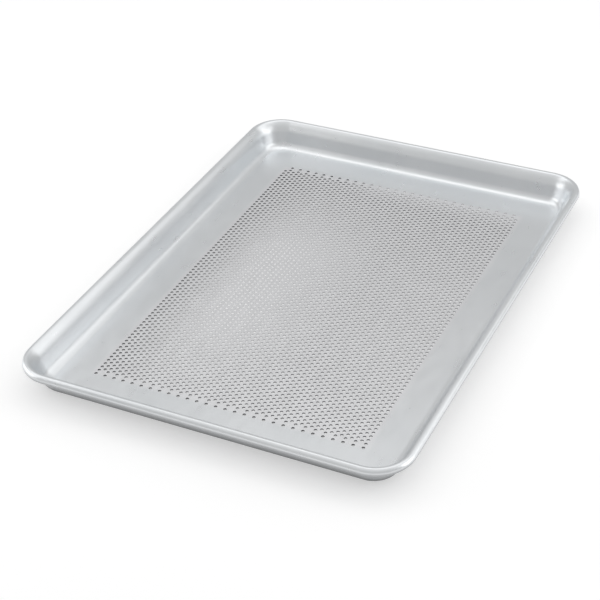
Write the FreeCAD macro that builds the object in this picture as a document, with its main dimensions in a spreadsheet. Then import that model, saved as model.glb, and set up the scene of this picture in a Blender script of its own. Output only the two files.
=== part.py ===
import FreeCAD, Part
import math
import os
import Sketcher
from FreeCAD import Vector

# Perforated half-size sheet pan: one pressed aluminium sheet, its rim rolled round a steel wire.
# Millimetres, +Z up. X runs along the short side and Y along the long side.
# The origin is at the middle of the underside.

# The driving dimensions: alias, value, meaning.
DIMENSIONS = [
    ("pan_width", 329.0, "short side over the rim"),
    ("pan_length", 454.0, "long side over the rim"),
    ("pan_height", 25.4, "underside to the top of the bead"),
    ("sheet_thickness", 1.0, "18 gauge aluminium"),
    ("rim_corner_radius", 32.0, "plan radius of the rim's outer edge"),
    ("floor_fillet_radius", 8.0, "inside radius between floor and wall"),
    ("wall_lean", 15.0, "degrees from vertical"),
    ("shoulder_radius", 18.0, "upper wall, where it flares out into the bead"),
    ("shoulder_join", 130.0, "degrees round the bead, from outwards, where the shoulder meets it"),
    ("bead_diameter", 6.9, "outside of the rolled bead"),
    ("curl_end", 195.0, "degrees round the bead, from outwards, where the rolled edge ends"),
    ("wire_diameter", 4.7, "reinforcing wire"),
    ("wire_gap", 2.0, "between the butting ends of the wire"),
    ("hole_diameter", 2.8, "punched hole"),
    ("hole_pitch", 4.7625, "between the centres of neighbouring holes, staggered at 60 degrees"),
    ("hole_columns", 57, "columns of holes across the floor"),
    ("column_holes", 74, "holes along each column"),
]
ORIGIN, X_AXIS, Y_AXIS = -1, -1, -2
START, END, CENTRE = 1, 2, 3


def make_dimensions(doc):
    """The spreadsheet that drives the model."""
    sheet = doc.addObject("Spreadsheet::Sheet", "dimensions")
    for row, (alias, value, meaning) in enumerate(DIMENSIONS, start=1):
        sheet.set(f"A{row}", alias)
        sheet.set(f"B{row}", str(value))
        sheet.set(f"C{row}", meaning)
        sheet.setAlias(f"B{row}", alias)
    doc.recompute()
    return sheet


# Sketch helpers

def new_sketch(body, name, role):
    """A sketch on the body's own origin plane of this role."""
    sketch = body.newObject("Sketcher::SketchObject", name)
    plane = next(feature for feature in body.Origin.OriginFeatures if feature.Role == role)
    sketch.AttachmentSupport = [(plane, "")]
    sketch.MapMode = "FlatFace"
    return sketch


def constrain(sketch, *arguments):
    return sketch.addConstraint(Sketcher.Constraint(*arguments))


def bind(sketch, name, expression, *arguments):
    """A named dimension of the sketch that follows an expression."""
    index = constrain(sketch, *arguments)
    sketch.renameConstraint(index, name)
    sketch.setExpression(f"Constraints.{name}", expression)


def on_circle(centre, radius, degrees):
    angle = math.radians(degrees)
    return centre + Vector(radius * math.cos(angle), radius * math.sin(angle), 0)


def arc(centre, radius, start, end):
    """A counter-clockwise arc between two angles in degrees."""
    circle = Part.Circle(centre, Vector(0, 0, 1), radius)
    return Part.ArcOfCircle(circle, math.radians(start), math.radians(end))


def line(start, end):
    return Part.LineSegment(start, end)


def rounded_rectangle(sketch, size, expressions, gap=0.0, gap_expression="0"):
    """Draw a rounded rectangle about the origin and tie it to its expressions.

    size and expressions are its half width, half length and corner radius.
    It runs counter-clockwise from the middle of its right-hand side, where it may have a gap.
    """
    half_width, half_length, radius = size
    inner_x = half_width - radius
    inner_y = half_length - radius
    first, corner, back, back_left, left, front_left, front, front_right, last = sketch.addGeometry([
        line(Vector(half_width, gap / 2, 0), Vector(half_width, inner_y, 0)),
        arc(Vector(inner_x, inner_y, 0), radius, 0, 90),
        line(Vector(inner_x, half_length, 0), Vector(-inner_x, half_length, 0)),
        arc(Vector(-inner_x, inner_y, 0), radius, 90, 180),
        line(Vector(-half_width, inner_y, 0), Vector(-half_width, -inner_y, 0)),
        arc(Vector(-inner_x, -inner_y, 0), radius, 180, 270),
        line(Vector(-inner_x, -half_length, 0), Vector(inner_x, -half_length, 0)),
        arc(Vector(inner_x, -inner_y, 0), radius, 270, 360),
        line(Vector(half_width, -inner_y, 0), Vector(half_width, -gap / 2, 0)),
    ], False)
    edges = [first, corner, back, back_left, left, front_left, front, front_right, last]
    for edge, following in zip(edges, edges[1:]):
        constrain(sketch, "Tangent", edge, END, following, START)
    for other_corner in (back_left, front_left, front_right):
        constrain(sketch, "Equal", corner, other_corner)
    for upright in (first, left, last):
        constrain(sketch, "Vertical", upright)
    for level in (back, front):
        constrain(sketch, "Horizontal", level)
    half_width_rule, half_length_rule, radius_rule = expressions
    bind(sketch, "right_side", half_width_rule, "DistanceX", ORIGIN, START, first, START, half_width)
    bind(sketch, "left_side", half_width_rule, "DistanceX", left, START, ORIGIN, START, half_width)
    bind(sketch, "back_side", half_length_rule, "DistanceY", ORIGIN, START, back, START, half_length)
    bind(sketch, "front_side", half_length_rule, "DistanceY", front, START, ORIGIN, START, half_length)
    bind(sketch, "corner_radius", radius_rule, "Radius", corner, radius)
    if gap:
        constrain(sketch, "Symmetric", last, END, first, START, X_AXIS)
        bind(sketch, "gap", gap_expression, "DistanceY", last, END, first, START, gap)
    else:
        constrain(sketch, "Coincident", last, END, first, START)
        constrain(sketch, "PointOnObject", first, START, X_AXIS)


class Section:
    """Where the arcs of the sheet's section lie, in millimetres from the pan's middle and underside.

    The section is that of the right-hand long side, with its angles in degrees from outwards.
    """

    def __init__(self, sheet):
        self.thickness = sheet.sheet_thickness
        self.bead_radius = sheet.bead_diameter / 2
        self.shoulder_radius = sheet.shoulder_radius
        self.fillet_radius = sheet.floor_fillet_radius
        self.join = sheet.shoulder_join
        self.curl = sheet.curl_end
        self.wall = 180 - sheet.wall_lean
        self.bead = Vector(sheet.pan_width / 2 - self.bead_radius, sheet.pan_height - self.bead_radius, 0)
        self.shoulder = on_circle(self.bead, self.bead_radius - self.shoulder_radius, self.join)
        wall_top = on_circle(self.shoulder, self.shoulder_radius, self.wall)
        beside_wall = on_circle(wall_top, self.fillet_radius, self.wall)
        height_over_floor = beside_wall.y - self.thickness - self.fillet_radius
        inset = height_over_floor * math.tan(math.radians(sheet.wall_lean))
        self.fillet = beside_wall - Vector(inset, height_over_floor, 0)


def draw_section(body, sheet):
    """The closed section of the pressed wall: fillet, wall, shoulder and rolled bead."""
    at = Section(sheet)
    thickness = at.thickness
    outer_fillet_radius = at.fillet_radius + thickness
    under_shoulder_radius = at.shoulder_radius - thickness
    inner_bead_radius = at.bead_radius - thickness
    sketch = new_sketch(body, "wall_section", "XZ_Plane")
    (fillet, wall, shoulder, bead, curl_edge, bead_inside, under_shoulder, outer_wall, outer_fillet,
     floor_end) = sketch.addGeometry([
         arc(at.fillet, at.fillet_radius, -90, at.wall - 180),
         line(on_circle(at.fillet, at.fillet_radius, at.wall - 180),
              on_circle(at.shoulder, at.shoulder_radius, at.wall)),
         arc(at.shoulder, at.shoulder_radius, at.join, at.wall),
         arc(at.bead, at.bead_radius, at.curl - 360, at.join),
         line(on_circle(at.bead, at.bead_radius, at.curl), on_circle(at.bead, inner_bead_radius, at.curl)),
         arc(at.bead, inner_bead_radius, at.curl - 360, at.join),
         arc(at.shoulder, under_shoulder_radius, at.join, at.wall),
         line(on_circle(at.shoulder, under_shoulder_radius, at.wall),
              on_circle(at.fillet, outer_fillet_radius, at.wall - 180)),
         arc(at.fillet, outer_fillet_radius, -90, at.wall - 180),
         line(on_circle(at.fillet, outer_fillet_radius, -90), on_circle(at.fillet, at.fillet_radius, -90)),
     ], False)
    for arc_a, end_a, arc_b, end_b in [
            (fillet, END, wall, START), (wall, END, shoulder, END), (shoulder, START, bead, END),
            (bead_inside, END, under_shoulder, START), (under_shoulder, END, outer_wall, START),
            (outer_wall, END, outer_fillet, END)]:
        constrain(sketch, "Tangent", arc_a, end_a, arc_b, end_b)
    for edge_a, end_a, edge_b, end_b in [
            (bead, START, curl_edge, START), (curl_edge, END, bead_inside, START),
            (outer_fillet, START, floor_end, START), (floor_end, END, fillet, START),
            (fillet, CENTRE, outer_fillet, CENTRE), (shoulder, CENTRE, under_shoulder, CENTRE),
            (bead, CENTRE, bead_inside, CENTRE)]:
        constrain(sketch, "Coincident", edge_a, end_a, edge_b, end_b)
    constrain(sketch, "Vertical", floor_end)
    constrain(sketch, "Vertical", fillet, CENTRE, fillet, START)
    constrain(sketch, "PointOnObject", floor_end, START, X_AXIS)
    constrain(sketch, "PointOnObject", bead, CENTRE, curl_edge)
    join_ray, = sketch.addGeometry([line(at.bead, on_circle(at.bead, at.bead_radius, at.join))], True)
    constrain(sketch, "Coincident", join_ray, START, bead, CENTRE)
    constrain(sketch, "Coincident", join_ray, END, bead, END)

    bind(sketch, "thickness", "dimensions.sheet_thickness", "Distance", floor_end, thickness)
    bind(sketch, "fillet_radius", "dimensions.floor_fillet_radius", "Radius", fillet, at.fillet_radius)
    bind(sketch, "shoulder_radius", "dimensions.shoulder_radius", "Radius", shoulder, at.shoulder_radius)
    bind(sketch, "bead_radius", "dimensions.bead_diameter / 2", "Radius", bead, at.bead_radius)
    bind(sketch, "bead_inside_radius", "dimensions.bead_diameter / 2 - dimensions.sheet_thickness",
         "Radius", bead_inside, inner_bead_radius)
    bind(sketch, "bead_across", "(dimensions.pan_width - dimensions.bead_diameter) / 2",
         "DistanceX", ORIGIN, START, bead, CENTRE, at.bead.x)
    bind(sketch, "bead_height", "dimensions.pan_height - dimensions.bead_diameter / 2",
         "DistanceY", ORIGIN, START, bead, CENTRE, at.bead.y)
    bind(sketch, "wall_slope", "(90 - dimensions.wall_lean) * 1deg",
         "Angle", wall, math.radians(at.wall - 90))
    bind(sketch, "join_angle", "dimensions.shoulder_join * 1deg",
         "Angle", join_ray, math.radians(at.join))
    bind(sketch, "curl_angle", "(dimensions.curl_end - 180) * 1deg",
         "Angle", curl_edge, math.radians(at.curl - 180))
    floor_edge = constrain(sketch, "DistanceX", ORIGIN, START, fillet, START, at.fillet.x)
    sketch.renameConstraint(floor_edge, "floor_edge")
    sketch.setDriving(floor_edge, False)
    return sketch


def draw_window(sketch, half_width, half_length, expressions):
    """A rectangle about the origin, which the perforated field fills."""
    corners = [Vector(x * half_width, y * half_length, 0) for x, y in ((1, -1), (1, 1), (-1, 1), (-1, -1))]
    right, back, left, front = sketch.addGeometry(
        [line(corner, corners[(place + 1) % 4]) for place, corner in enumerate(corners)], False)
    for edge, following in ((right, back), (back, left), (left, front), (front, right)):
        constrain(sketch, "Coincident", edge, END, following, START)
    for edge in (right, left):
        constrain(sketch, "Vertical", edge)
    for edge in (back, front):
        constrain(sketch, "Horizontal", edge)
    half_width_rule, half_length_rule = expressions
    bind(sketch, "window_right", half_width_rule, "DistanceX", ORIGIN, START, right, START, half_width)
    bind(sketch, "window_left", half_width_rule, "DistanceX", left, START, ORIGIN, START, half_width)
    bind(sketch, "window_back", half_length_rule, "DistanceY", ORIGIN, START, back, START, half_length)
    bind(sketch, "window_front", half_length_rule, "DistanceY", front, START, ORIGIN, START, half_length)


# The pieces

STAGGER = math.sqrt(3) / 2
# Neighbouring columns are shifted by half as much again as the pitch, one towards each end, so that
# the columns that start the field at one end are not the ones that end it.
COLUMN_SHIFT = 0.75


def field_size(sheet):
    """Half width and half length of the floor panel that holds the holes."""
    half_width = sheet.hole_columns * sheet.hole_pitch * STAGGER / 2
    half_length = (sheet.column_holes / 2 + COLUMN_SHIFT) * sheet.hole_pitch
    return half_width, half_length


FIELD_RULES = (
    f"dimensions.hole_columns * dimensions.hole_pitch * {STAGGER} / 2",
    f"(dimensions.column_holes / 2 + {COLUMN_SHIFT}) * dimensions.hole_pitch",
)


def make_pressed_blank(doc, sheet):
    """The tray without its perforated panel: walls and rolled rim, and the plain margin of the floor."""
    body = doc.addObject("PartDesign::Body", "pressed_blank")
    rim_size = (sheet.pan_width / 2, sheet.pan_length / 2, sheet.rim_corner_radius)
    rim_rules = ("dimensions.pan_width / 2", "dimensions.pan_length / 2", "dimensions.rim_corner_radius")
    rim = new_sketch(body, "rim_outline", "XY_Plane")
    rounded_rectangle(rim, rim_size, rim_rules)
    section = draw_section(body, sheet)
    doc.recompute()
    wall = body.newObject("PartDesign::AdditivePipe", "pressed_wall")
    wall.Profile = section
    wall.Spine = (rim, [f"Edge{number}" for number in range(1, len(rim.Shape.Edges) + 1)])
    doc.recompute()

    inset = sheet.pan_width / 2 - section.getDatum("floor_edge").Value
    inset_rule = "(dimensions.pan_width / 2 - wall_section.Constraints.floor_edge / 1mm)"
    floor = new_sketch(body, "floor_margin_outline", "XY_Plane")
    floor_size = [size - inset for size in rim_size]
    floor_rules = [f"{rule} - {inset_rule}" for rule in rim_rules]
    rounded_rectangle(floor, floor_size, floor_rules)
    draw_window(floor, *field_size(sheet), FIELD_RULES)
    margin = body.newObject("PartDesign::Pad", "floor_margin")
    margin.Profile = floor
    margin.setExpression("Length", "dimensions.sheet_thickness")
    doc.recompute()
    return body


def make_perforated_field(doc, sheet):
    """The middle of the floor with its staggered holes, built column by column."""
    half_width, half_length = field_size(sheet)
    column_width = 2 * half_width / sheet.hole_columns
    through = Vector(0, 0, sheet.sheet_thickness)
    columns = []
    for column in range(sheet.hole_columns):
        x = (column + 0.5) * column_width - half_width
        shift = COLUMN_SHIFT if column % 2 else -COLUMN_SHIFT
        strip = Part.makePlane(column_width, 2 * half_length, Vector(x - column_width / 2, -half_length, 0))
        wires = [strip.OuterWire]
        for hole in range(sheet.column_holes):
            y = (hole - (sheet.column_holes - 1) / 2 + shift) * sheet.hole_pitch
            wires.append(Part.Wire(Part.makeCircle(sheet.hole_diameter / 2, Vector(x, y, 0))))
        columns.append(Part.makeFace(wires, "Part::FaceMakerCheese").extrude(through))
    field = doc.addObject("Part::Feature", "perforated_field")
    field.Shape = columns[0].multiFuse(columns[1:])
    return field


def make_pan_sheet(doc, sheet):
    """The whole sheet of aluminium, one piece of metal."""
    blank = make_pressed_blank(doc, sheet)
    field = make_perforated_field(doc, sheet)
    pan = doc.addObject("Part::Fuse", "pan_sheet")
    pan.Base = blank
    pan.Tool = field
    pan.Refine = False
    pan.Label = "pan_sheet"
    pan.Placement = FreeCAD.Placement()
    doc.recompute()
    return pan


def make_rim_wire(doc, sheet):
    """The wire inside the bead, bent to the rim's outline, its ends butting on a long side."""
    body = doc.addObject("PartDesign::Body", "rim_wire")
    body.Label = "rim_wire"
    inset = sheet.bead_diameter / 2
    size = (sheet.pan_width / 2 - inset, sheet.pan_length / 2 - inset, sheet.rim_corner_radius - inset)
    rules = [f"{rule} - dimensions.bead_diameter / 2" for rule in
             ("dimensions.pan_width / 2", "dimensions.pan_length / 2", "dimensions.rim_corner_radius")]
    height_rule = "dimensions.pan_height - dimensions.bead_diameter / 2"
    route = new_sketch(body, "wire_route", "XY_Plane")
    rounded_rectangle(route, size, rules, sheet.wire_gap, "dimensions.wire_gap")
    route.setExpression("AttachmentOffset.Base.z", height_rule)

    # The plane of the round section faces -Y, so a negative offset moves it to the end at the gap.
    section = new_sketch(body, "wire_section", "XZ_Plane")
    section.setExpression("AttachmentOffset.Base.z", "-dimensions.wire_gap / 2")
    centre = Vector(size[0], sheet.pan_height - inset, 0)
    circle = section.addGeometry(Part.Circle(centre, Vector(0, 0, 1), sheet.wire_diameter / 2), False)
    bind(section, "across", rules[0], "DistanceX", ORIGIN, START, circle, CENTRE, centre.x)
    bind(section, "height", height_rule, "DistanceY", ORIGIN, START, circle, CENTRE, centre.y)
    bind(section, "diameter", "dimensions.wire_diameter", "Diameter", circle, sheet.wire_diameter)
    doc.recompute()
    wire = body.newObject("PartDesign::AdditivePipe", "bent_wire")
    wire.Profile = section
    wire.Spine = (route, [f"Edge{number}" for number in range(1, len(route.Shape.Edges) + 1)])
    doc.recompute()
    return body


def check_document(doc):
    """Stop if any object of the document has failed or a sketch isn't fully constrained."""
    for item in doc.Objects:
        if "Invalid" in item.State or "Error" in item.State:
            raise RuntimeError(f"{item.Label} failed: {item.State}")
        if item.TypeId == "Sketcher::SketchObject" and not item.FullyConstrained:
            raise RuntimeError(f"{item.Label} isn't fully constrained")


def export(piece):
    """Check one piece and write its STEP file."""
    shape = piece.Shape
    if shape.isNull() or not shape.isValid() or len(shape.Solids) != 1:
        raise RuntimeError(f"{piece.Label} isn't one valid solid")
    shape.exportStep(os.path.join("parts", f"{piece.Label}.step"))
    box = shape.optimalBoundingBox()
    size = f"{box.XLength:.2f} x {box.YLength:.2f} x {box.ZLength:.2f} mm"
    print(f"{piece.Label}: {size}, {shape.Volume:.0f} mm3")


def main():
    os.makedirs("parts", exist_ok=True)
    doc = FreeCAD.newDocument("sheet_pan")
    sheet = make_dimensions(doc)
    pieces = [make_pan_sheet(doc, sheet), make_rim_wire(doc, sheet)]
    check_document(doc)
    for piece in pieces:
        export(piece)


main()
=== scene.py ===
import math

import bpy
from mathutils import Matrix, Vector
from mathutils.geometry import tessellate_polygon


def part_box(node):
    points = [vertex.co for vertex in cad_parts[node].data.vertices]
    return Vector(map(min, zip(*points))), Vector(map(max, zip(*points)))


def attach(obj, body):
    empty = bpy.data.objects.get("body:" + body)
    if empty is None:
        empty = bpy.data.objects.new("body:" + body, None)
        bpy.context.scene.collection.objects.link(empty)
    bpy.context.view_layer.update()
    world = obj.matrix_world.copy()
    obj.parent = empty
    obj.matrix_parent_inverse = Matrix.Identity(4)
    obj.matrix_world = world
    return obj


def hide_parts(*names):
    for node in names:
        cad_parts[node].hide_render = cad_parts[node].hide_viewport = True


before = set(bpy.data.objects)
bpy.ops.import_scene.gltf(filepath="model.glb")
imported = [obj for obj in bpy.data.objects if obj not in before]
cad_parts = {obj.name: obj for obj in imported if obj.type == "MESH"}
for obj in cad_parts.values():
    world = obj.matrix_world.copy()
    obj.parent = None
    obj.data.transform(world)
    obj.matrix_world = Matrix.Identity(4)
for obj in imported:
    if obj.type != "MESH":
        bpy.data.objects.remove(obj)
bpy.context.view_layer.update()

# Perforated aluminium sheet pan. Metres, +Z up; X runs along the short side and Y along the long side.

PAN_LOW, PAN_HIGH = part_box("pan_sheet")
HALF_WIDTH = (PAN_HIGH[0] - PAN_LOW[0]) / 2
HALF_LENGTH = (PAN_HIGH[1] - PAN_LOW[1]) / 2
HEIGHT = PAN_HIGH[2] - PAN_LOW[2]

# The pressed sheet, as the CAD part has it.
THICKNESS = 0.001
RIM_CORNER_RADIUS = 0.032
FILLET_RADIUS = 0.008
SHOULDER_RADIUS = 0.018
BEAD_RADIUS = 0.00345
WALL_LEAN = math.radians(15)
SHOULDER_JOIN = math.radians(130)
CURL_END = math.radians(195)
# How much larger the floor's corner radius is than an arc concentric with the rim's would have it.
CORNER_EXTRA = 0.0033

# The punched field. Its columns are shifted along the pan, every second one the other way, by
# COLUMN_SHIFT pitches.
HOLE_RADIUS = 0.0014
HOLE_PITCH = 0.0047625
HOLE_COLUMNS = 57
COLUMN_HOLES = 74
COLUMN_SHIFT = 0.75
COLUMN_WIDTH = HOLE_PITCH * math.sqrt(3) / 2
FIELD_X = HOLE_COLUMNS / 2 * COLUMN_WIDTH
FIELD_Y = COLUMN_HOLES / 2 * HOLE_PITCH

# How finely the mesh follows the curves: sides of a hole, steps round a corner of the pan, and steps
# along the fillet, the shoulder and the bead.
HOLE_SIDES = 10
CORNER_STEPS = 18
UPPER_STEPS = (8, 7, 26)
LOWER_STEPS = (6, 5, 12)


def on_circle(centre, radius, angle):
    return Vector((centre[0] + radius * math.cos(angle), centre[1] + radius * math.sin(angle)))


# The section of a wall, seen with outwards to the right. A row is (inset from the rim's outer edge,
# height, normal outwards, normal upwards).

def arc_rows(centre, radius, start, end, steps, side=1):
    """Rows along an arc; side is 1 where the metal's surface faces away from the centre."""
    rows = []
    for step in range(steps + 1):
        angle = start + (end - start) * step / steps
        point = on_circle(centre, radius, angle)
        rows.append((-point[0], point[1], side * math.cos(angle), side * math.sin(angle)))
    return rows


def section_rows():
    """Upper and lower surface of the sheet, each from the floor's edge out to the end of the curl."""
    bead = Vector((-BEAD_RADIUS, HEIGHT - BEAD_RADIUS))
    shoulder = on_circle(bead, BEAD_RADIUS - SHOULDER_RADIUS, SHOULDER_JOIN)
    wall = math.pi - WALL_LEAN
    wall_top = on_circle(shoulder, SHOULDER_RADIUS, wall)
    beside_wall = on_circle(wall_top, FILLET_RADIUS, wall)
    height_over_floor = beside_wall[1] - THICKNESS - FILLET_RADIUS
    fillet = beside_wall - Vector((height_over_floor * math.tan(WALL_LEAN), height_over_floor))
    down = -math.pi / 2
    curl = CURL_END - 2 * math.pi
    fillet_steps, shoulder_steps, bead_steps = UPPER_STEPS
    upper = arc_rows(fillet, FILLET_RADIUS, down, -WALL_LEAN, fillet_steps, side=-1)
    upper += arc_rows(shoulder, SHOULDER_RADIUS, wall, SHOULDER_JOIN, shoulder_steps)
    upper += arc_rows(bead, BEAD_RADIUS, SHOULDER_JOIN, curl, bead_steps)[1:]
    fillet_steps, shoulder_steps, bead_steps = LOWER_STEPS
    lower = arc_rows(fillet, FILLET_RADIUS + THICKNESS, down, -WALL_LEAN, fillet_steps)
    lower += arc_rows(shoulder, SHOULDER_RADIUS - THICKNESS, wall, SHOULDER_JOIN, shoulder_steps, side=-1)
    lower += arc_rows(bead, BEAD_RADIUS - THICKNESS, SHOULDER_JOIN, curl, bead_steps, side=-1)[1:]
    return upper, lower


UPPER_ROWS, LOWER_ROWS = section_rows()
FLOOR_INSET = UPPER_ROWS[0][0]


def corner_growth(inset):
    """How much the corner radius gains at an inset, easing in below the bead, and how fast that changes."""
    span = FLOOR_INSET - 2 * BEAD_RADIUS
    share = min(max((inset - 2 * BEAD_RADIUS) / span, 0.0), 1.0)
    return CORNER_EXTRA * share * share * (3 - 2 * share), CORNER_EXTRA * 6 * share * (1 - share) / span


def plan_points(inset, grown=0.0):
    """Points round the pan, counter-clockwise, at an inset from the rim's outer edge.

    A point is (x, y, outward x, outward y, stretch), where stretch says how much more than on the
    sides the wall leans there. grown moves every point further out, which lays a bent wall flat.
    """
    growth, rate = corner_growth(inset)
    radius = RIM_CORNER_RADIUS - inset + growth
    half_x = HALF_WIDTH - inset - radius
    half_y = HALF_LENGTH - inset - radius
    radius += grown
    corners = [(half_x, half_y), (-half_x, half_y), (-half_x, -half_y), (half_x, -half_y)]
    points = []
    for number, (x, y) in enumerate(corners):
        for step in range(CORNER_STEPS + 1):
            angle = math.pi / 2 * (number + step / CORNER_STEPS)
            out_x, out_y = math.cos(angle), math.sin(angle)
            stretch = 1 + rate * (abs(out_x) + abs(out_y) - 1)
            points.append((x + radius * out_x, y + radius * out_y, out_x, out_y, stretch))
    return points


# Flattened for the UV map, the upper and the lower surface lie side by side. A hole's wall lies inside
# the hole, as a ring that reaches in to this share of its radius.
UV_SCALE = 1.28
UPPER_ISLAND, LOWER_ISLAND = 0.25, 0.75
HOLE_WALL_SHRINK = 0.3
UP, DOWN = (0.0, 0.0, 1.0), (0.0, 0.0, -1.0)


def uv_at(x, y, island):
    return (island + x * UV_SCALE, 0.5 + y * UV_SCALE)


class Skin:
    """Vertices and faces of the sheet; every corner of a face has its own normal and UV."""

    def __init__(self):
        self.points = []
        self.faces = []
        self.normals = []
        self.uvs = []

    def add_point(self, x, y, z):
        self.points.append((x, y, z))
        return len(self.points) - 1

    def add_face(self, corners):
        """corners holds (vertex, normal, uv), counter-clockwise as seen from outside the metal."""
        self.faces.append([vertex for vertex, _, _ in corners])
        self.normals.extend(normal for _, normal, _ in corners)
        self.uvs.extend(uv for _, _, uv in corners)

    def add_floor_face(self, vertices):
        """A flat face of the floor's top, and its twin on the underside, whose points come one later."""
        top = [(vertex, UP, uv_at(*self.points[vertex][:2], UPPER_ISLAND)) for vertex in vertices]
        under = [(vertex + 1, DOWN, uv_at(*self.points[vertex][:2], LOWER_ISLAND)) for vertex in vertices]
        self.add_face(top)
        self.add_face(under[::-1])

    def make_object(self, name):
        mesh = bpy.data.meshes.new(name)
        mesh.from_pydata(self.points, [], self.faces)
        layer = mesh.uv_layers.new(name="OFBake")
        layer.data.foreach_set("uv", [value for uv in self.uvs for value in uv])
        mesh.shade_smooth()
        mesh.normals_split_custom_set(self.normals)
        mesh.validate()
        piece = bpy.data.objects.new(name, mesh)
        bpy.context.scene.collection.objects.link(piece)
        return piece


def add_wall(skin, rows, start, island, underside):
    """One surface of the wall and bead, from its vertices at the floor's edge to the end of the curl.

    Returns the corners of the last row.
    """
    travelled = 0.0
    inner = []
    for number, (inset, height, out, up) in enumerate(rows):
        if number:
            travelled += math.dist(rows[number - 1][:2], (inset, height))
        outer = []
        flat = plan_points(FLOOR_INSET, travelled)
        for place, (x, y, out_x, out_y, stretch) in enumerate(plan_points(inset)):
            vertex = skin.add_point(x, y, height) if number else start[place]
            normal = Vector((out * out_x, out * out_y, up * stretch)).normalized()
            outer.append((vertex, tuple(normal), uv_at(*flat[place][:2], island)))
        for place in range(len(inner)):
            following = (place + 1) % len(inner)
            corners = [inner[place], outer[place], outer[following], inner[following]]
            skin.add_face(corners[::-1] if underside else corners)
        inner = outer
    return inner


def add_curl_edge(skin, upper_end, lower_end):
    """The sheared edge of the sheet, which ends the curl behind the bead."""
    out, up = math.sin(CURL_END), -math.cos(CURL_END)
    travelled = sum(math.dist(near[:2], far[:2]) for near, far in zip(UPPER_ROWS, UPPER_ROWS[1:]))
    flat = plan_points(FLOOR_INSET, travelled + THICKNESS)
    edge = []
    for place, (_, _, out_x, out_y, _) in enumerate(flat):
        normal = (out * out_x, out * out_y, up)
        near = (upper_end[place][0], normal, upper_end[place][2])
        far = (lower_end[place][0], normal, uv_at(*flat[place][:2], UPPER_ISLAND))
        edge.append((near, far))
    for place, (near, far) in enumerate(edge):
        following = edge[(place + 1) % len(edge)]
        skin.add_face([near, far, following[1], following[0]])


# Holes. A hole's corners are numbered counter-clockwise; the columns are staggered, so its six
# neighbours lie at 30, 90, 150, 210, 270 and 330 degrees.

CORNER_ANGLES = [2 * math.pi * (corner + 0.5) / HOLE_SIDES for corner in range(HOLE_SIDES)]


def corner_facing(degrees):
    """The hole's corner nearest to a direction."""
    def turn(corner):
        return abs(math.remainder(CORNER_ANGLES[corner] - math.radians(degrees), 2 * math.pi))
    return min(range(HOLE_SIDES), key=turn)


def clockwise(hole, start, end):
    """The hole's vertices from the corner facing one direction to that facing another."""
    first, last = corner_facing(start), corner_facing(end)
    count = (first - last) % HOLE_SIDES
    return [hole[(first - step) % HOLE_SIDES] for step in range(count + 1)]


def add_hole(skin, x, y):
    """A punched hole through the floor. Returns its vertices on the floor's top."""
    hole = []
    wall = []
    for angle in CORNER_ANGLES:
        out_x, out_y = math.cos(angle), math.sin(angle)
        place = (x + HOLE_RADIUS * out_x, y + HOLE_RADIUS * out_y)
        top = skin.add_point(*place, THICKNESS)
        under = skin.add_point(*place, 0.0)
        shrunk = HOLE_RADIUS * HOLE_WALL_SHRINK
        normal = (-out_x, -out_y, 0.0)
        under_uv = uv_at(x + shrunk * out_x, y + shrunk * out_y, UPPER_ISLAND)
        wall.append(((top, normal, uv_at(*place, UPPER_ISLAND)), (under, normal, under_uv)))
        hole.append(top)
    for corner, (top, under) in enumerate(wall):
        next_top, next_under = wall[(corner + 1) % HOLE_SIDES]
        skin.add_face([top, next_top, next_under, under])
    return hole


def add_holes(skin):
    """Every hole, as {(column, row): vertices}.

    Rows count half pitches. A hole's neighbours are two rows away in its own column and one row away
    in the columns beside it.
    """
    holes = {}
    for column in range(HOLE_COLUMNS):
        x = (column - (HOLE_COLUMNS - 1) / 2) * COLUMN_WIDTH
        shift = COLUMN_SHIFT if column % 2 else -COLUMN_SHIFT
        for number in range(COLUMN_HOLES):
            y = number - (COLUMN_HOLES - 1) / 2 + shift
            row = round(2 * (number + shift + COLUMN_SHIFT))
            holes[column, row] = add_hole(skin, x, y * HOLE_PITCH)
    return holes


def add_webs(skin, holes):
    """The metal between the holes: one face between each three neighbours. Returns those faces."""
    webs = []
    for (column, row), lower in holes.items():
        upper = holes.get((column, row + 2))
        if not upper:
            continue
        right = holes.get((column + 1, row + 1))
        left = holes.get((column - 1, row + 1))
        if right:
            webs.append(clockwise(lower, 90, 30) + clockwise(right, 210, 150) + clockwise(upper, 330, 270))
        if left:
            webs.append(clockwise(lower, 150, 90) + clockwise(upper, 270, 210) + clockwise(left, 30, 330))
    for web in webs:
        skin.add_floor_face(web)
    return webs


def margin_loops(holes, webs):
    """The closed loops of vertices where the perforated field meets the plain margin."""
    taken = set()
    for web in webs:
        taken.update(zip(web, web[1:] + web[:1]))
    owner = {vertex: place for place, hole in holes.items() for vertex in hole}
    following = {}
    for hole in holes.values():
        for vertex, after in zip(hole, hole[1:] + hole[:1]):
            if (after, vertex) not in taken:
                following[after] = vertex
    for start, end in taken:
        if owner[start] != owner[end] and (end, start) not in taken:
            following[end] = start
    loops = []
    while following:
        start, vertex = following.popitem()
        loop = [start]
        while vertex != start:
            loop.append(vertex)
            vertex = following.pop(vertex)
        loops.append(loop)
    return loops


def add_margins(skin, floor_edge, holes, webs):
    """The plain margin of the floor, from the perforated field out to the fillet."""
    loops = [floor_edge] + margin_loops(holes, webs)
    vertices = [vertex for loop in loops for vertex in loop]
    outlines = [[Vector(skin.points[vertex]) for vertex in loop] for loop in loops]
    for triangle in tessellate_polygon(outlines):
        a, b, c = (vertices[number] for number in triangle)
        (ax, ay), (bx, by), (cx, cy) = (skin.points[vertex][:2] for vertex in (a, b, c))
        turns_left = (bx - ax) * (cy - ay) > (by - ay) * (cx - ax)
        skin.add_floor_face([a, b, c] if turns_left else [a, c, b])


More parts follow.
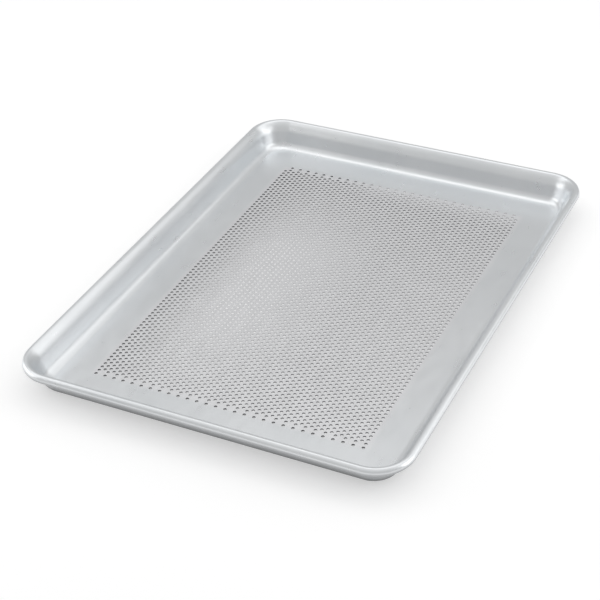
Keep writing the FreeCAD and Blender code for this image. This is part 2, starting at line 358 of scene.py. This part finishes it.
def make_pan():
    """The whole sheet as one closed mesh."""
    skin = Skin()
    floor_edge = []
    for x, y, *_ in plan_points(FLOOR_INSET):
        floor_edge.append(skin.add_point(x, y, THICKNESS))
        skin.add_point(x, y, 0.0)
    holes = add_holes(skin)
    webs = add_webs(skin, holes)
    add_margins(skin, floor_edge, holes, webs)
    upper_end = add_wall(skin, UPPER_ROWS, floor_edge, UPPER_ISLAND, underside=False)
    lower_end = add_wall(skin, LOWER_ROWS, [vertex + 1 for vertex in floor_edge], LOWER_ISLAND,
                         underside=True)
    add_curl_edge(skin, upper_end, lower_end)
    return skin.make_object("pan_skin")


# Materials

class Nodes:
    """Short names for building one material's node tree."""

    def __init__(self, name):
        self.material = bpy.data.materials.new(name)
        self.material.use_nodes = True
        self.tree = self.material.node_tree
        self.shader = self.tree.nodes["Principled BSDF"]
        self.output = self.tree.nodes["Material Output"]

    def add(self, kind, inputs=None, **settings):
        node = self.tree.nodes.new(kind)
        for setting, value in settings.items():
            setattr(node, setting, value)
        for socket, value in (inputs or {}).items():
            if isinstance(value, bpy.types.NodeSocket):
                self.link(value, node.inputs[socket])
            else:
                node.inputs[socket].default_value = value
        return node

    def link(self, source, target):
        self.tree.links.new(source, target)

    def parts(self, vector):
        """The X, Y and Z of a vector, by name."""
        return self.add("ShaderNodeSeparateXYZ", {"Vector": vector}).outputs

    def noise(self, scale, detail=3.0, stretch=(1.0, 1.0, 1.0)):
        """Noise in the pan's own coordinates; scale is in cycles per metre."""
        place = self.add("ShaderNodeTexCoord").outputs["Object"]
        vector = self.add("ShaderNodeMapping", {"Vector": place, "Scale": stretch}).outputs["Vector"]
        inputs = {"Vector": vector, "Scale": scale, "Detail": detail}
        return self.add("ShaderNodeTexNoise", inputs).outputs["Fac"]

    def ramp(self, value, low, high, start=0.3, end=0.7):
        """Numbers from low to high as a value goes from start to end, which by default suit noise."""
        return self.add("ShaderNodeMapRange", {"Value": value, "From Min": start, "From Max": end,
                                               "To Min": low, "To Max": high}).outputs["Result"]

    def around(self, value, centre, core, reach):
        """1 where a value is within a core distance of the centre, fading to 0 at the reach."""
        distance = self.math("ABSOLUTE", self.math("SUBTRACT", value, centre))
        return self.ramp(distance, 1.0, 0.0, start=core, end=reach)

    def colors(self, value, low, high, start=0.3, end=0.7):
        """Colours from low to high as a value goes from start to end, which by default suit noise."""
        ramp = self.add("ShaderNodeValToRGB", {"Fac": value})
        ramp.color_ramp.elements[0].position = start
        ramp.color_ramp.elements[0].color = (*low, 1.0)
        ramp.color_ramp.elements[1].position = end
        ramp.color_ramp.elements[1].color = (*high, 1.0)
        return ramp.outputs["Color"]

    def mix(self, share, color, other):
        """A colour, turned to another by a share."""
        if isinstance(other, tuple):
            other = (*other, 1.0)
        return self.add("ShaderNodeMix", {0: share, 6: color, 7: other}, data_type="RGBA").outputs[2]

    def math(self, operation, *values):
        return self.add("ShaderNodeMath", dict(enumerate(values)), operation=operation).outputs[0]

    def product(self, result, *factors):
        for factor in factors:
            result = self.math("MULTIPLY", result, factor)
        return result

    def bump(self, height, distance, normal=None):
        inputs = {"Height": height, "Distance": distance, "Strength": 1.0}
        if normal:
            inputs["Normal"] = normal
        return self.add("ShaderNodeBump", inputs).outputs["Normal"]


DULL_SHEEN, CLEAR_SHEEN = (0.807, 0.83, 0.847), (0.862, 0.88, 0.894)
SMOOTH, SCUFFED = 0.27, 0.36
ROLLING_DEPTH = 0.000003
WAVE_DEPTH = 0.0001
FIELD_COLOR = (0.885, 0.89, 0.905)
FIELD_FADE = 0.004

# Slopes here are the upward part of a face's normal. The outside is painted darker than the inside, a
# painted shade for the shaded ground it reflects, and fades out round the bead, between two slopes. A
# painted contact shade darkens it further towards the foot, except on the flat underside: the third slope
# is the first at which the foot is fully dark.
OUTSIDE_SHADE_COLOR, FOOT_SHADE_COLOR = (0.45, 0.46, 0.47), (0.02, 0.02, 0.022)
FOOT_LOW, FOOT_HIGH = 0.002, 0.008
OUTSIDE_SLOPE, INSIDE_SLOPE, FOOT_SLOPE = -0.10, 0.45, -0.8

# The walls inside the holes carry painted light and shade: their colour lies between a shaded dark and a
# lit bright by a share. It is MIDDLE_SHARE in the middle of the field and falls off, as painted shade, to
# the left, near and far edges. A painted highlight band down the left part and painted light on the last
# rows on the far right add to it.
SHADED_WALL_COLOR, LIT_WALL_COLOR = (0.08, 0.08, 0.09), (0.86, 0.86, 0.87)
WALL_SLOPE = 0.3
MIDDLE_SHARE, HIGHLIGHT_BAND_SHARE, LAST_ROWS_SHARE = 0.36, 0.52, 0.5
LEFT_FADE = 0.03
NEAR_EDGE_LEFTOVER, NEAR_FADE_END = 0.1, -0.06
FAR_EDGE_LEFTOVER, FAR_FADE_START = 0.15, 0.04
BAND_X, BAND_CORE_WIDTH, BAND_HALF_WIDTH = -0.055, 0.01, 0.085
BAND_Y, BAND_CORE_LENGTH, BAND_HALF_LENGTH = -0.02, 0.07, 0.17
LAST_ROWS_DEPTH = 0.022
LEFT_PART_FADE = (-0.06, -0.02)


def hole_walls(nodes, position, normal_up):
    """1 on the upright faces inside the holes, which stand between the floor's two surfaces; else 0."""
    steep = nodes.math("COMPARE", normal_up, 0.0, WALL_SLOPE)
    low = nodes.math("LESS_THAN", position["Z"], THICKNESS)
    return nodes.product(steep, low)


def outside(nodes, surface, normal_up):
    """1 where the outside's painted shade lies: on the pan's outside and underside, fading to 0 round the
    bead where it turns upwards.
    """
    away = nodes.add("ShaderNodeVectorMath", {0: surface["True Normal"], 1: surface["Position"]},
                     operation="DOT_PRODUCT").outputs["Value"]
    # This is about 0 on the floor, and well above or below 0 on the sides that face outwards or inwards.
    outwards = nodes.math("GREATER_THAN", away, -0.01)
    downwards = nodes.ramp(normal_up, 1.0, 0.0, start=OUTSIDE_SLOPE, end=INSIDE_SLOPE)
    return nodes.product(outwards, downwards)


def painted_outside_shade(nodes, position, normal_up):
    """Painted shade on the outside, darkening further down the wall's last millimetres to the foot, but not
    underneath.
    """
    foot = nodes.ramp(position["Z"], 1.0, 0.0, start=FOOT_LOW, end=FOOT_HIGH)
    upright = nodes.ramp(normal_up, 0.0, 1.0, start=-1.0, end=FOOT_SLOPE)
    return nodes.colors(nodes.product(foot, upright), OUTSIDE_SHADE_COLOR, FOOT_SHADE_COLOR, start=0.0, end=1.0)


def far_rows(nodes, position, depth):
    """1 at the last of the far rows, fading to 0 at a depth before them."""
    return nodes.ramp(position["Y"], 0.0, 1.0, start=FIELD_Y - depth, end=FIELD_Y)


def left_part(nodes, position):
    """1 over the left part of the field, fading to 0 a little short of its middle."""
    start, end = LEFT_PART_FADE
    return nodes.ramp(position["X"], 1.0, 0.0, start=start, end=end)


def painted_wall_light(nodes, position):
    """Painted light and shade on the walls inside the holes, as their colour."""
    x, y = position["X"], position["Y"]
    from_left = nodes.ramp(x, 0.0, MIDDLE_SHARE, start=-FIELD_X, end=LEFT_FADE - FIELD_X)
    from_near = nodes.ramp(y, NEAR_EDGE_LEFTOVER, 1.0, start=-FIELD_Y, end=NEAR_FADE_END)
    from_far = nodes.ramp(y, 1.0, FAR_EDGE_LEFTOVER, start=FAR_FADE_START, end=FIELD_Y)
    middle = nodes.product(from_left, from_near, from_far)
    across_band = nodes.around(x, BAND_X, BAND_CORE_WIDTH, BAND_HALF_WIDTH)
    along_band = nodes.around(y, BAND_Y, BAND_CORE_LENGTH, BAND_HALF_LENGTH)
    band = nodes.product(across_band, along_band, HIGHLIGHT_BAND_SHARE)
    not_left = nodes.math("SUBTRACT", 1.0, left_part(nodes, position))
    last_rows = nodes.product(far_rows(nodes, position, LAST_ROWS_DEPTH), not_left, LAST_ROWS_SHARE)
    share = nodes.math("ADD", nodes.math("ADD", middle, band), last_rows)
    return nodes.colors(share, SHADED_WALL_COLOR, LIT_WALL_COLOR, start=0.0, end=1.0)


def punched_field(nodes, position):
    """1 over the punched field, fading to 0 beside it."""
    across = nodes.around(position["X"], 0.0, FIELD_X, FIELD_X + FIELD_FADE)
    along = nodes.around(position["Y"], 0.0, FIELD_Y, FIELD_Y + FIELD_FADE)
    return nodes.product(across, along)


def aluminium():
    """Satin mill-finish sheet: faint rolling lines along the pan, cloudy sheen, very slight waviness."""
    nodes = Nodes("aluminium_sheet")
    cloud = nodes.noise(11.0, detail=4.0)
    rolling = nodes.noise(1.0, detail=4.0, stretch=(1400.0, 25.0, 1400.0))
    scuffs = nodes.noise(130.0, detail=5.0, stretch=(1.0, 0.35, 1.0))
    waves = nodes.noise(7.0, detail=0.0)
    surface = nodes.add("ShaderNodeNewGeometry").outputs
    position = nodes.parts(surface["Position"])
    normal_up = nodes.parts(surface["True Normal"])["Z"]
    sheen = nodes.colors(cloud, DULL_SHEEN, CLEAR_SHEEN)
    color = nodes.mix(punched_field(nodes, position), sheen, FIELD_COLOR)
    # Painted shade: the outside and its foot are darkened in the colour.
    color = nodes.mix(outside(nodes, surface, normal_up), color, painted_outside_shade(nodes, position, normal_up))
    # Painted light and shade on the walls inside the holes.
    color = nodes.mix(hole_walls(nodes, position, normal_up), color, painted_wall_light(nodes, position))
    shader = nodes.shader
    shader.inputs["Metallic"].default_value = 1.0
    nodes.link(color, shader.inputs["Base Color"])
    nodes.link(nodes.ramp(scuffs, SMOOTH, SCUFFED), shader.inputs["Roughness"])
    lines = nodes.bump(rolling, ROLLING_DEPTH)
    nodes.link(nodes.bump(waves, WAVE_DEPTH, lines), shader.inputs["Normal"])
    return nodes.material


SPANGLE_DARK, SPANGLE_BRIGHT = (0.50, 0.52, 0.53), (0.66, 0.68, 0.69)
SPANGLE_SMOOTH, SPANGLE_ROUGH = 0.42, 0.55
SPANGLE_DEPTH = 0.00002


def galvanised_wire():
    """Dull zinc-coated steel with a mottled spangle."""
    nodes = Nodes("galvanised_wire")
    spangle = nodes.noise(420.0, detail=2.0)
    shader = nodes.shader
    shader.inputs["Metallic"].default_value = 1.0
    nodes.link(nodes.colors(spangle, SPANGLE_DARK, SPANGLE_BRIGHT), shader.inputs["Base Color"])
    nodes.link(nodes.ramp(spangle, SPANGLE_SMOOTH, SPANGLE_ROUGH), shader.inputs["Roughness"])
    nodes.link(nodes.bump(spangle, SPANGLE_DEPTH), shader.inputs["Normal"])
    return nodes.material


# The floor's paper is lifted towards white, but less under the outer holes, by a share of that lift:
# painted shade there.
PAPER_DARK, PAPER_BRIGHT = (0.675, 0.675, 0.675), (0.685, 0.685, 0.685)
FLOOR_LIFT = 0.45
SHADE = 0.6
SHADE_DEPTH_LEFT, SHADE_DEPTH_ENDS = 0.045, 0.008


def uncovered(nodes):
    """1 on the open floor; less under the outer holes of the pan, which paints shade on the paper there."""
    position = nodes.parts(nodes.add("ShaderNodeNewGeometry").outputs["Position"])
    x, y = position["X"], position["Y"]
    across = nodes.math("LESS_THAN", nodes.math("ABSOLUTE", x), FIELD_X + HOLE_PITCH)
    along = nodes.math("LESS_THAN", nodes.math("ABSOLUTE", y), FIELD_Y + HOLE_PITCH)
    left = nodes.ramp(x, 1.0, 0.0, start=-FIELD_X, end=SHADE_DEPTH_LEFT - FIELD_X)
    near = nodes.ramp(y, 1.0, 0.0, start=-FIELD_Y, end=SHADE_DEPTH_ENDS - FIELD_Y)
    far = nodes.product(far_rows(nodes, position, SHADE_DEPTH_ENDS), left_part(nodes, position))
    shade = nodes.math("MAXIMUM", left, nodes.math("MAXIMUM", near, far))
    return nodes.math("SUBTRACT", 1.0, nodes.product(shade, across, along, SHADE))


def studio_floor():
    """Plain pale paper, which the camera and the metal see lifted to white."""
    nodes = Nodes("studio_floor")
    grain = nodes.noise(900.0, detail=2.0)
    nodes.link(nodes.colors(grain, PAPER_DARK, PAPER_BRIGHT), nodes.shader.inputs["Base Color"])
    nodes.shader.inputs["Roughness"].default_value = 0.9
    nodes.shader.inputs["Specular IOR Level"].default_value = 0.0
    ray = nodes.add("ShaderNodeLightPath").outputs
    seen = nodes.math("MAXIMUM", ray["Is Camera Ray"], ray["Is Glossy Ray"])
    seen = nodes.math("MAXIMUM", seen, ray["Is Transmission Ray"])
    glow = nodes.add("ShaderNodeEmission", {"Strength": nodes.product(seen, uncovered(nodes), FLOOR_LIFT)})
    both = nodes.add("ShaderNodeAddShader", {0: nodes.shader.outputs[0], 1: glow.outputs[0]})
    nodes.link(both.outputs[0], nodes.output.inputs["Surface"])
    return nodes.material


# The studio

FLOOR_SIZE = 12.0
# The floor lies this far below the pan, so that the two surfaces don't coincide.
FLOOR_DROP = 0.0002
# The sky's strength at a few elevations, in degrees.
SKY_LEVELS = {0: 0.41, 7: 0.48, 16: 0.62, 28: 0.56, 45: 0.61, 90: 0.78}

# Softboxes round the pan: azimuth from +X and elevation (degrees), distance, width and height,
# and strength as seen from the pan.
SOFTBOXES = {
    "left_softbox": (180, 50, 1.5, 1.35, 0.38, 0.75),
    "low_left_softbox": (200, 18, 0.9, 0.68, 0.45, 1.00),
    "right_softbox": (40, 38, 1.5, 1.12, 0.75, 0.51),
    "low_right_softbox": (20, 18, 1.5, 1.12, 0.75, 0.74),
    "right_strip": (0, 28, 0.9, 0.27, 0.81, 0.75),
    "top_softbox": (100, 70, 0.9, 0.90, 0.50, 0.50),
}


def make_floor():
    bpy.ops.mesh.primitive_plane_add(size=FLOOR_SIZE, location=(0.0, 0.0, -FLOOR_DROP))
    floor = bpy.context.object
    floor.name = "studio_floor"
    floor.data.materials.append(studio_floor())


def make_world():
    """A soft sky; its light varies only with height."""
    world = bpy.data.worlds.new("studio")
    world.use_nodes = True
    tree = world.node_tree
    place = tree.nodes.new("ShaderNodeTexCoord")
    split = tree.nodes.new("ShaderNodeSeparateXYZ")
    sky = tree.nodes.new("ShaderNodeValToRGB")
    for elevation in list(SKY_LEVELS)[1:-1]:
        sky.color_ramp.elements.new(math.sin(math.radians(elevation)))
    for element, level in zip(sky.color_ramp.elements, SKY_LEVELS.values()):
        element.color = (level, level, level, 1.0)
    tree.links.new(place.outputs["Generated"], split.inputs["Vector"])
    tree.links.new(split.outputs["Z"], sky.inputs["Fac"])
    tree.links.new(sky.outputs["Color"], tree.nodes["Background"].inputs["Color"])
    bpy.context.scene.world = world


def make_softboxes():
    for name, (azimuth, elevation, distance, width, height, strength) in SOFTBOXES.items():
        turn, rise = math.radians(azimuth), math.radians(elevation)
        towards = Vector((math.cos(turn) * math.cos(rise), math.sin(turn) * math.cos(rise), math.sin(rise)))
        lamp = bpy.data.lights.new(name, "AREA")
        lamp.shape = "RECTANGLE"
        lamp.size = width
        lamp.size_y = height
        lamp.energy = strength * math.pi * width * height
        holder = bpy.data.objects.new(name, lamp)
        holder.location = towards * distance
        holder.rotation_euler = (-towards).to_track_quat("-Z", "Y").to_euler()
        bpy.context.scene.collection.objects.link(holder)


# The camera: where it stands, the point on the floor of the pan that it aims at, its slight roll, and its
# lens and sensor in millimetres.
CAMERA_PLACE = Vector((0.4744, -1.0032, 0.7555))
CAMERA_AIM = Vector((-0.0100, -0.0212, 0.0010))
CAMERA_ROLL = math.radians(1.81)
CAMERA_LENS = 94.64
CAMERA_SENSOR = 36.0


def make_camera():
    data = bpy.data.cameras.new("camera")
    data.lens = CAMERA_LENS
    data.sensor_width = CAMERA_SENSOR
    camera = bpy.data.objects.new("camera", data)
    level = (CAMERA_AIM - CAMERA_PLACE).to_track_quat("-Z", "Y").to_matrix().to_4x4()
    camera.matrix_world = Matrix.Translation(CAMERA_PLACE) @ level @ Matrix.Rotation(-CAMERA_ROLL, 4, "Z")
    bpy.context.scene.collection.objects.link(camera)
    bpy.context.scene.camera = camera


make_camera()
make_world()
make_softboxes()
make_floor()

pan = make_pan()
pan.data.materials.append(aluminium())
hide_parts("pan_sheet")
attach(pan, "root")

# The wire keeps its CAD shape.
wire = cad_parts["rim_wire"]
wire.data.materials.clear()
wire.data.materials.append(galvanised_wire())

bpy.context.scene.view_settings.view_transform = "Standard"
